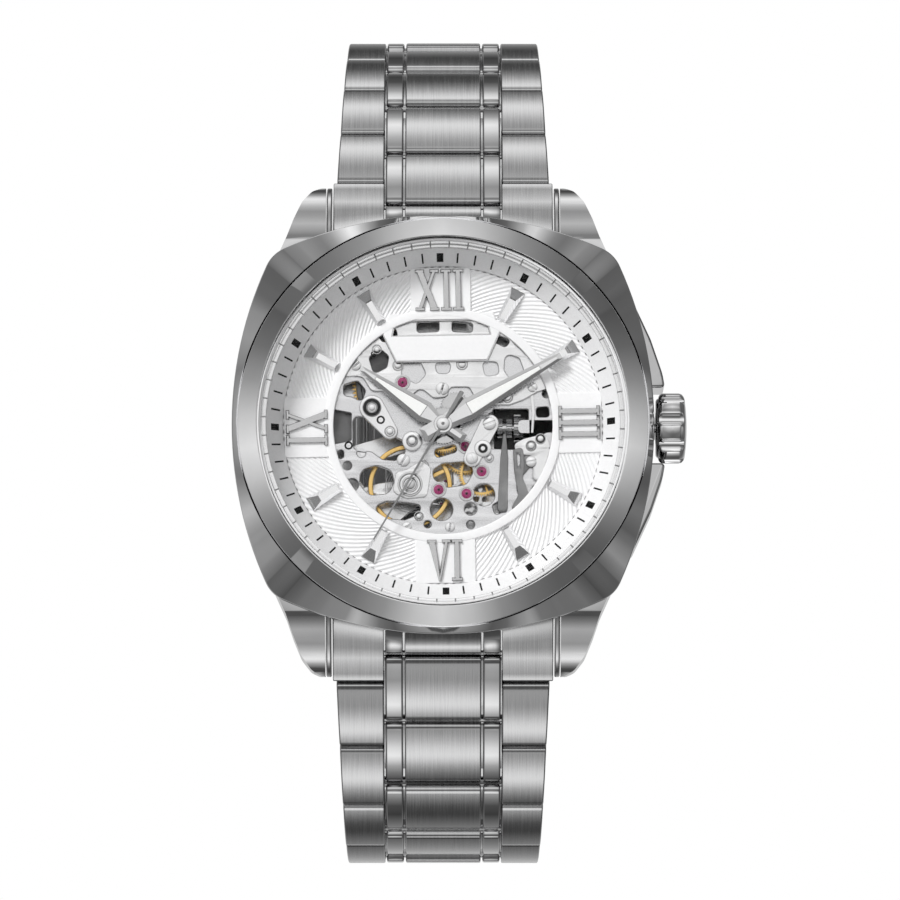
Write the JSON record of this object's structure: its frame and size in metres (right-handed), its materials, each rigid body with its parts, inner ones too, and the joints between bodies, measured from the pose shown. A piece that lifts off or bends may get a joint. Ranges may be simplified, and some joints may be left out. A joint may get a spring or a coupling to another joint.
{
  "type": "skeleton wristwatch",
  "caption": "Automatic wristwatch with a cushion case, open dial showing the movement, applied Roman numerals and a steel link bracelet with a folding clasp.",
  "frame": {"origin": "centre of the outer face of the case back, where the watch lies on the wrist", "axes": "dial faces -Y, +X towards 3 o'clock and the crown, +Z towards 12 o'clock; the closed bracelet runs back along +Y"},
  "size_m": [0.0453, 0.0627, 0.0861],
  "materials": {
    "brushed_steel": "lengthwise satin brushing",
    "polished_steel": "polished stainless steel",
    "nickel_plate": "rhodium plated, circular graining and fine satin",
    "small_steel": "polished steel",
    "gilt_brass": "gilt, circular graining",
    "dial_white": "white lacquer over a wave pattern",
    "silver_ring": "satin silver lacquer",
    "glass": "clear, polished",
    "rubber": "matt black",
    "ruby": "polished synthetic ruby",
    "black_print": "printed black",
    "lume": "white luminous paint"
  },
  "bodies": {
    "case": {"mid_case": "brushed_steel", "bezel": "polished_steel", "crystal": "glass", "crystal_gasket": "rubber", "chapter_ring": "silver_ring", "dial": "dial_white", "case_back": "brushed_steel", "case_back_glass": "glass", "case_back_gasket": "rubber", "end_link_12": "brushed_steel", "end_link_6": "brushed_steel", "movement_holder": "silver_ring", "main_plate": "nickel_plate", "barrel_bridge": "nickel_plate", "train_bridge": "nickel_plate", "balance_cock": "nickel_plate", "crown_tube": "polished_steel"},
    "minute_hand": {"minute_hand": "polished_steel", "cannon_pinion": "small_steel"},
    "hour_hand": {"hour_hand": "polished_steel", "hour_wheel": "small_steel"},
    "minute_wheel": {"minute_wheel": "small_steel"},
    "second_hand": {"second_hand": "polished_steel"},
    "fourth_wheel": {"fourth_wheel": "gilt_brass"},
    "third_wheel": {"third_wheel": "gilt_brass"},
    "centre_wheel": {"centre_wheel": "gilt_brass"},
    "mainspring_barrel": {"mainspring_barrel": "nickel_plate"},
    "escape_wheel": {"escape_wheel": "small_steel"},
    "pallet_fork": {"pallet_fork": "small_steel"},
    "balance_wheel": {"balance_wheel": "gilt_brass"},
    "rotor": {"rotor": "nickel_plate"},
    "winding_pinion": {"winding_pinion": "small_steel"},
    "crown": {"crown": "polished_steel", "winding_stem": "small_steel"},
    "sliding_pinion": {"sliding_pinion": "small_steel"},
    "yoke": {"yoke": "small_steel"},
    "setting_lever": {"setting_lever": "small_steel"},
    "crown_wheel": {"crown_wheel": "small_steel"},
    "ratchet_wheel": {"ratchet_wheel": "small_steel"},
    "link_12_1": {"link_12_1": "brushed_steel"},
    "link_12_2": {"link_12_2": "brushed_steel"},
    "link_12_3": {"link_12_3": "brushed_steel"},
    "link_12_4": {"link_12_4": "brushed_steel"},
    "link_12_5": {"link_12_5": "brushed_steel"},
    "link_12_6": {"link_12_6": "brushed_steel"},
    "link_12_7": {"link_12_7": "brushed_steel"},
    "link_12_8": {"link_12_8": "brushed_steel"},
    "clasp_cover": {"clasp_cover": "brushed_steel"},
    "clasp_middle_blade": {"clasp_middle_blade": "polished_steel"},
    "clasp_inner_blade": {"clasp_inner_blade": "polished_steel"},
    "clasp_pusher_left": {"clasp_pusher_left": "polished_steel"},
    "clasp_pusher_right": {"clasp_pusher_right": "polished_steel"},
    "link_6_1": {"link_6_1": "brushed_steel"},
    "link_6_2": {"link_6_2": "brushed_steel"},
    "link_6_3": {"link_6_3": "brushed_steel"},
    "link_6_4": {"link_6_4": "brushed_steel"},
    "link_6_5": {"link_6_5": "brushed_steel"},
    "link_6_6": {"link_6_6": "brushed_steel"},
    "link_6_7": {"link_6_7": "brushed_steel"},
    "link_6_8": {"link_6_8": "brushed_steel"}
  },
  "joints": [
    {"name": "minute_hand_turn", "type": "hinge", "parent": "case", "child": "minute_hand", "pos_m": [0, -0.0092, 0], "axis": [0, 1, 0], "continuous": true},
    {"name": "hour_hand_turn", "type": "hinge", "parent": "case", "child": "hour_hand", "pos_m": [0, -0.0088, 0], "axis": [0, 1, 0], "continuous": true},
    {"name": "minute_wheel_turn", "type": "hinge", "parent": "case", "child": "minute_wheel", "pos_m": [0.0012, -0.0072, 0.002], "axis": [0, 1, 0], "continuous": true},
    {"name": "second_hand_turn", "type": "hinge", "parent": "case", "child": "second_hand", "pos_m": [0, -0.0095, 0], "axis": [0, 1, 0], "continuous": true},
    {"name": "fourth_wheel_turn", "type": "hinge", "parent": "case", "child": "fourth_wheel", "pos_m": [0.00384, -0.0052, -0.0045], "axis": [0, 1, 0], "continuous": true},
    {"name": "third_wheel_turn", "type": "hinge", "parent": "case", "child": "third_wheel", "pos_m": [0.0022, -0.0044, -0.002], "axis": [0, 1, 0], "continuous": true},
    {"name": "centre_wheel_turn", "type": "hinge", "parent": "case", "child": "centre_wheel", "pos_m": [0, -0.0059, 0], "axis": [0, 1, 0], "continuous": true},
    {"name": "mainspring_barrel_turn", "type": "hinge", "parent": "case", "child": "mainspring_barrel", "pos_m": [-0.004, -0.0045, 0.0044], "axis": [0, 1, 0], "continuous": true},
    {"name": "escape_wheel_turn", "type": "hinge", "parent": "case", "child": "escape_wheel", "pos_m": [0.00234, -0.005, -0.0067], "axis": [0, 1, 0], "continuous": true},
    {"name": "pallet_fork_swing", "type": "hinge", "parent": "case", "child": "pallet_fork", "pos_m": [-0.00043, -0.005, -0.0063], "axis": [0, 1, 0], "range_deg": [-5, 5]},
    {"name": "balance_swing", "type": "hinge", "parent": "case", "child": "balance_wheel", "pos_m": [-0.00328, -0.0054, -0.0058], "axis": [0, 1, 0], "range_deg": [-270, 270], "stiffness_Nm_per_rad": 0.0000002},
    {"name": "rotor_turn", "type": "hinge", "parent": "case", "child": "rotor", "pos_m": [0, -0.002, 0], "axis": [0, 1, 0], "continuous": true},
    {"name": "crown_turn", "type": "hinge", "parent": "case", "child": "winding_pinion", "pos_m": [0.0076, -0.0055, 0], "axis": [1, 0, 0], "continuous": true},
    {"name": "crown_pull", "type": "slide", "parent": "winding_pinion", "child": "crown", "axis": [1, 0, 0], "range_m": [0, 0.0015]},
    {"name": "sliding_pinion_shift", "type": "slide", "parent": "winding_pinion", "child": "sliding_pinion", "axis": [-1, 0, 0], "range_m": [0, 0.0009]},
    {"name": "yoke_swing", "type": "hinge", "parent": "case", "child": "yoke", "pos_m": [0.0059, -0.0073, -0.008], "axis": [0, -1, 0], "range_deg": [0, 6.5]},
    {"name": "setting_lever_swing", "type": "hinge", "parent": "case", "child": "setting_lever", "pos_m": [0.008, -0.0073, -0.0042], "axis": [0, 1, 0], "range_deg": [0, 27]},
    {"name": "crown_wheel_turn", "type": "hinge", "parent": "case", "child": "crown_wheel", "pos_m": [0.005, -0.0038, 0.0034], "axis": [0, -1, 0], "continuous": true},
    {"name": "ratchet_wheel_turn", "type": "hinge", "parent": "case", "child": "ratchet_wheel", "pos_m": [-0.004, -0.0038, 0.0044], "axis": [0, -1, 0], "continuous": true},
    {"name": "hinge_12_1", "type": "hinge", "parent": "case", "child": "link_12_1", "pos_m": [0, -0.003, 0.0233], "axis": [1, 0, 0], "range_deg": [0, 13.5]},
    {"name": "hinge_12_2", "type": "hinge", "parent": "link_12_1", "child": "link_12_2", "pos_m": [0, 0.00241, 0.0292], "axis": [1, 0, 0], "range_deg": [0, 3.5]},
    {"name": "hinge_12_3", "type": "hinge", "parent": "link_12_2", "child": "link_12_3", "pos_m": [0, 0.00816, 0.03476], "axis": [1, 0, 0], "range_deg": [0, 11.5]},
    {"name": "hinge_12_4", "type": "hinge", "parent": "link_12_3", "child": "link_12_4", "pos_m": [0, 0.01491, 0.03905], "axis": [1, 0, 0], "range_deg": [0, 9.8]},
    {"name": "hinge_12_5", "type": "hinge", "parent": "link_12_4", "child": "link_12_5", "pos_m": [0, 0.02229, 0.04214], "axis": [1, 0, 0], "range_deg": [0, 16]},
    {"name": "hinge_12_6", "type": "hinge", "parent": "link_12_5", "child": "link_12_6", "pos_m": [0, 0.03023, 0.04307], "axis": [1, 0, 0], "range_deg": [0, 23.6]},
    {"name": "hinge_12_7", "type": "hinge", "parent": "link_12_6", "child": "link_12_7", "pos_m": [0, 0.03789, 0.04075], "axis": [1, 0, 0], "range_deg": [0, 26.5]},
    {"name": "hinge_12_8", "type": "hinge", "parent": "link_12_7", "child": "link_12_8", "pos_m": [0, 0.0437, 0.03525], "axis": [1, 0, 0], "range_deg": [0, 25.7]},
    {"name": "hinge_12_clasp", "type": "hinge", "parent": "link_12_8", "child": "clasp_cover", "pos_m": [0, 0.04655, 0.02778], "axis": [1, 0, 0], "range_deg": [0, 10.64]},
    {"name": "clasp_middle_hinge", "type": "hinge", "parent": "clasp_cover", "child": "clasp_middle_blade", "pos_m": [0, 0.04669, -0.01451], "axis": [1, 0, 0], "range_deg": [0, 95]},
    {"name": "clasp_inner_hinge", "type": "hinge", "parent": "clasp_middle_blade", "child": "clasp_inner_blade", "pos_m": [0, 0.04666, 0.02074], "axis": [-1, 0, 0], "range_deg": [0, 75]},
    {"name": "pusher_left_press", "type": "slide", "parent": "clasp_cover", "child": "clasp_pusher_left", "axis": [1, 0, 0], "range_m": [0, 0.0005], "stiffness_N_per_m": 400, "springref_m": -0.001},
    {"name": "pusher_right_press", "type": "slide", "parent": "clasp_cover", "child": "clasp_pusher_right", "axis": [-1, 0, 0], "range_m": [0, 0.0005], "stiffness_N_per_m": 400, "springref_m": -0.001},
    {"name": "hinge_6_1", "type": "hinge", "parent": "case", "child": "link_6_1", "pos_m": [0, -0.003, -0.0233], "axis": [-1, 0, 0], "range_deg": [0, 12]},
    {"name": "hinge_6_2", "type": "hinge", "parent": "link_6_1", "child": "link_6_2", "pos_m": [0, 0.00225, -0.02934], "axis": [-1, 0, 0], "range_deg": [0, 6]},
    {"name": "hinge_6_3", "type": "hinge", "parent": "link_6_2", "child": "link_6_3", "pos_m": [0, 0.0081, -0.03479], "axis": [-1, 0, 0], "range_deg": [0, 16]},
    {"name": "hinge_6_4", "type": "hinge", "parent": "link_6_3", "child": "link_6_4", "pos_m": [0, 0.01523, -0.03843], "axis": [-1, 0, 0], "range_deg": [0, 17]},
    {"name": "hinge_6_5", "type": "hinge", "parent": "link_6_4", "child": "link_6_5", "pos_m": [0, 0.02311, -0.03982], "axis": [-1, 0, 0], "range_deg": [0, 19]},
    {"name": "hinge_6_6", "type": "hinge", "parent": "link_6_5", "child": "link_6_6", "pos_m": [0, 0.03101, -0.03856], "axis": [-1, 0, 0], "range_deg": [0, 20.2]},
    {"name": "hinge_6_7", "type": "hinge", "parent": "link_6_6", "child": "link_6_7", "pos_m": [0, 0.03799, -0.03466], "axis": [-1, 0, 0], "range_deg": [0, 22.8]},
    {"name": "hinge_6_8", "type": "hinge", "parent": "link_6_7", "child": "link_6_8", "pos_m": [0, 0.04292, -0.02836], "axis": [-1, 0, 0], "range_deg": [0, 20]}
  ],
  "couplings": [
    {"joint": "hour_hand_turn", "follows": "minute_hand_turn", "ratio": 0.083333},
    {"joint": "minute_wheel_turn", "follows": "minute_hand_turn", "ratio": -0.33333},
    {"joint": "fourth_wheel_turn", "follows": "second_hand_turn", "ratio": 1},
    {"joint": "third_wheel_turn", "follows": "second_hand_turn", "ratio": -0.13333},
    {"joint": "centre_wheel_turn", "follows": "second_hand_turn", "ratio": 0.016667},
    {"joint": "mainspring_barrel_turn", "follows": "second_hand_turn", "ratio": -0.002778},
    {"joint": "escape_wheel_turn", "follows": "second_hand_turn", "ratio": -10},
    {"joint": "sliding_pinion_shift", "follows": "crown_pull", "ratio": 0.46667},
    {"joint": "yoke_swing", "follows": "crown_pull", "rad_per_m": 66.667},
    {"joint": "setting_lever_swing", "follows": "crown_pull", "rad_per_m": 300},
    {"joint": "crown_wheel_turn", "follows": "crown_turn", "ratio": 0.34483},
    {"joint": "ratchet_wheel_turn", "follows": "crown_turn", "ratio": -0.29412},
    {"joint": "hinge_12_2", "follows": "hinge_12_1", "ratio": 0.25926},
    {"joint": "hinge_12_3", "follows": "hinge_12_1", "ratio": 0.85185},
    {"joint": "hinge_12_4", "follows": "hinge_12_1", "ratio": 0.72593},
    {"joint": "hinge_12_5", "follows": "hinge_12_1", "ratio": 1.1852},
    {"joint": "hinge_12_6", "follows": "hinge_12_1", "ratio": 1.7481},
    {"joint": "hinge_12_7", "follows": "hinge_12_1", "ratio": 1.963},
    {"joint": "hinge_12_8", "follows": "hinge_12_1", "ratio": 1.9037},
    {"joint": "hinge_12_clasp", "follows": "hinge_12_1", "ratio": 0.78815},
    {"joint": "hinge_6_2", "follows": "hinge_6_1", "ratio": 0.5},
    {"joint": "hinge_6_3", "follows": "hinge_6_1", "ratio": 1.3333},
    {"joint": "hinge_6_4", "follows": "hinge_6_1", "ratio": 1.4167},
    {"joint": "hinge_6_5", "follows": "hinge_6_1", "ratio": 1.5833},
    {"joint": "hinge_6_6", "follows": "hinge_6_1", "ratio": 1.6833},
    {"joint": "hinge_6_7", "follows": "hinge_6_1", "ratio": 1.9},
    {"joint": "hinge_6_8", "follows": "hinge_6_1", "ratio": 1.6667}
  ]
}
